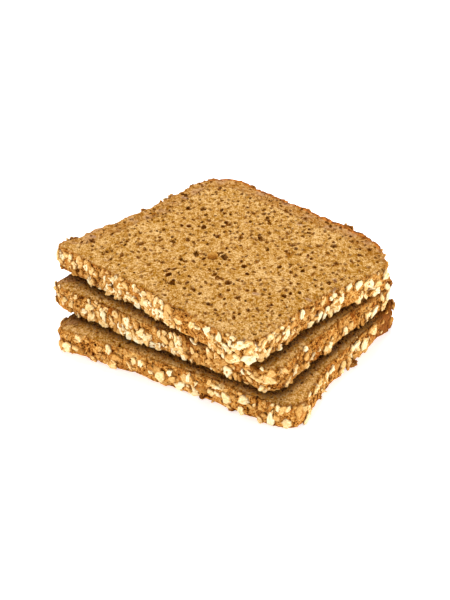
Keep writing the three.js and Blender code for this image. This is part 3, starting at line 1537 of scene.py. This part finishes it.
OATS_IN_MIDDLE = (
    Flake(24.5, 5.5, 4.6, 2.6, 90, 0.02, 4, 0.5),
    Flake(82.0, 3.0, 5.0, 4.2, 30, 0.12, 6, 0.5),
    Flake(164.5, 3.6, 6.0, 3.2, 50, 0.1, 8, 0.5),
    Flake(124.0, 3.2, 5.2, 1.8, 60, 0.0, 25, 0.6),
    Flake(112.0, 3.0, 5.6, 2.0, 70, 0.08, 20, 0.5),
)
OATS_AT_BOTTOM = (
    Flake(5.0, 4.0, 5.2, 3.8, 60, 0.22, 4, 0.2),
    Flake(34.5, 6.8, 3.8, 2.6, 80, 0.3, 8, 0.3),
    Flake(37.5, 6.0, 4.6, 3.0, 60, 0.06, 14, 0.3),
    Flake(25.0, 2.4, 5.0, 3.8, 0, 0.4, 0, 0.1),
    Flake(46.5, 4.4, 5.6, 4.2, 110, 0.3, 4, 0.25),
    Flake(50.5, 7.2, 3.6, 2.4, 60, 0.0, 12, 0.4),
    Flake(51.5, 4.6, 4.0, 3.2, 20, 0.6, 0, 0.2),
    Flake(55.0, 2.8, 5.0, 4.2, 20, 0.04, 8, 0.4),
    Flake(58.5, 7.2, 4.6, 2.2, 80, 0.02, 8, 0.4),
    Flake(61.0, 5.6, 3.8, 2.4, 60, 0.3, 0, 0.2),
    Flake(70.0, 7.8, 4.8, 1.8, 10, 0.0, 20, 0.4),
    Flake(75.0, 5.0, 5.0, 4.4, 5, 0.26, 2, 0.1),
    Flake(68.5, 5.0, 4.0, 3.2, 50, 0.4, 0, 0.2),
    Flake(81.5, 2.6, 4.2, 3.2, 70, 0.24, 0, 0.2),
    Flake(94.0, 3.6, 5.8, 3.2, 100, 0.06, 4, 0.3),
    Flake(128.0, 6.4, 4.8, 3.4, 40, 0.14, 6, 0.3),
    Flake(132.5, 7.6, 5.0, 2.8, 60, 0.0, 12, 0.4),
    Flake(152.0, 7.0, 5.4, 3.0, 80, 0.08, 10, 0.4),
    Flake(156.5, 5.0, 6.0, 4.0, 70, 0.1, 4, 0.3),
    Flake(149.5, 8.4, 5.0, 2.2, 30, 0.02, 16, 0.4),
)
STUCK_CRUMBS = {
    "slice_bottom": (
        Crumb(77.0, 0.4, 2.6, 1.6, 2.0),
        Crumb(148.5, 1.2, 4.4, 2.2, 2.6, 0.8),
        Crumb(64.0, 0.6, 2.0, 1.2, 1.6),
        Crumb(186.0, 7.5, 5.0, 5.0, 2.4, 0.6),
        Crumb(232.0, 3.0, 4.0, 3.0, 2.0),
        Crumb(330.0, 1.0, 3.4, 2.0, 2.0),
    ),
    "slice_middle": (
        Crumb(184.0, 5.0, 5.5, 6.0, 2.8, 0.8),
        Crumb(190.0, 8.0, 4.0, 3.0, 2.2, 0.5),
        Crumb(210.0, 4.0, 5.0, 4.0, 2.0),
        Crumb(262.0, 6.0, 4.0, 4.0, 2.0),
    ),
    "slice_top": (
        Crumb(200.0, 5.0, 5.0, 5.0, 2.2, 0.3),
        Crumb(238.0, 7.0, 4.0, 4.0, 2.0, 0.3),
        Crumb(275.0, 5.0, 5.0, 4.0, 2.0),
    ),
}


@dataclass
class LoafStack:
    """The whole object: three slices and what is baked onto them."""

    bread: BreadFinish = BreadFinish()
    oats: OatFinish = OatFinish()
    grain: OatFinish = OatFinish(
        pale=tone(240, 190, 110), cream=tone(222, 165, 84), golden=tone(204, 140, 52),
        toasted=tone(150, 84, 14), painted_contact_shade=tone(96, 46, 0), flour=tone(244, 200, 130),
    )

    def parts(self) -> list[tuple[Slice, OatCoat]]:
        """Lays out the slices from the bottom up.

        Returns:
            Each slice with its oats.
        """
        bottom = Slice(
            "bottom_slice_crumb", "slice_bottom", 4.5, 11, COVERED_FACE, UNDERSIDE, crust_pits=230,
            swellings=(
                Swelling(30, 14, 0.9), Swelling(78, 14, 0.6), Swelling(103, 6, 1.2), Swelling(172, 8, -1.8),
            ),
            browned=(168.0, 290.0), lid=("slice_middle", 0.0),
        )
        middle = Slice(
            "middle_slice_crumb", "slice_middle", 0.0, 23, COVERED_FACE, UNDERSIDE,
            swellings=(Swelling(0, 6, -0.7), Swelling(171, 8, 0.8)),
            browned=(176.0, 290.0), lid=("slice_top", -8.7),
        )
        top = Slice(
            "top_slice_crumb", "slice_top", -8.7, 37, OPEN_FACE, UNDERSIDE, TOP_HOLES,
            swellings=(
                Swelling(0, 8, 0.5), Swelling(345, 12, 0.7), Swelling(265, 8, 0.5),
                Swelling(208, 13, 0.7), Swelling(182, 7, -1.5),
            ),
        )
        return [
            (bottom, OatCoat("bottom_slice_oats", bottom, (
                Drift(0, 20, 8, 0.5), Drift(20, 60, 18, 0.6), Drift(60, 104, 22, 0.55),
                Drift(104, 140, 16, 0.5), Drift(140, 164, 16, 0.35), Drift(164, 185, 3, 0.7),
                Drift(185, 280, 12, 0.6), Drift(280, 368, 60, 0.5), Drift(0, 368, 130, 0.65, 0.45),
            ), OATS_AT_BOTTOM)),
            (middle, OatCoat("middle_slice_oats", middle, (
                Drift(0, 18, 18, 0.55, 0.7), Drift(18, 62, 84, 0.38), Drift(62, 100, 44, 0.55),
                Drift(100, 122, 12, 0.5), Drift(122, 165, 14, 0.55), Drift(165, 185, 8, 0.5),
                Drift(185, 280, 14, 0.6), Drift(280, 368, 90, 0.45), Drift(0, 368, 120, 0.62, 0.45),
            ), OATS_IN_MIDDLE)),
            (top, OatCoat("top_slice_oats", top, (
                Drift(0, 14, 16, 0.55, 0.9), Drift(14, 62, 96, 0.38), Drift(62, 80, 12, 0.65),
                Drift(80, 104, 42, 0.3), Drift(104, 122, 24, 0.32), Drift(122, 152, 26, 0.42),
                Drift(152, 173, 14, 0.4), Drift(173, 195, 8, 0.5, 0.6), Drift(195, 280, 12, 0.6),
                Drift(280, 364, 80, 0.45), Drift(0, 364, 120, 0.62, 0.45),
            ), OATS_ON_TOP)),
        ]

    def build(self) -> None:
        """Builds and dresses every piece."""
        bread = self.bread.material("wholegrain_bread")
        oats = self.oats.material("toasted_oats")
        for slice_, coat in self.parts():
            stuck = StuckCrumbs(slice_.name.replace("crumb", "lumps"), slice_, STUCK_CRUMBS[slice_.node])
            pieces = [(slice_, bread), (coat, oats), (stuck, bread)]
            if slice_.holes:
                pieces.append((Kernel("top_slice_kernel", slice_), self.grain.material("whole_grain")))
            for part, finish in pieces:
                part.build()
                part.dress(finish)
                report(part.piece)


def report(piece: bpy.types.Object) -> None:
    """Logs the name and the triangles of a finished piece."""
    piece.data.calc_loop_triangles()
    log.info("%s: %d triangles", piece.name, len(piece.data.loop_triangles))


def main() -> None:
    """Builds the studio and the stack of slices."""
    Studio().build()
    LoafStack().build()


if __name__ == "__main__":
    main()
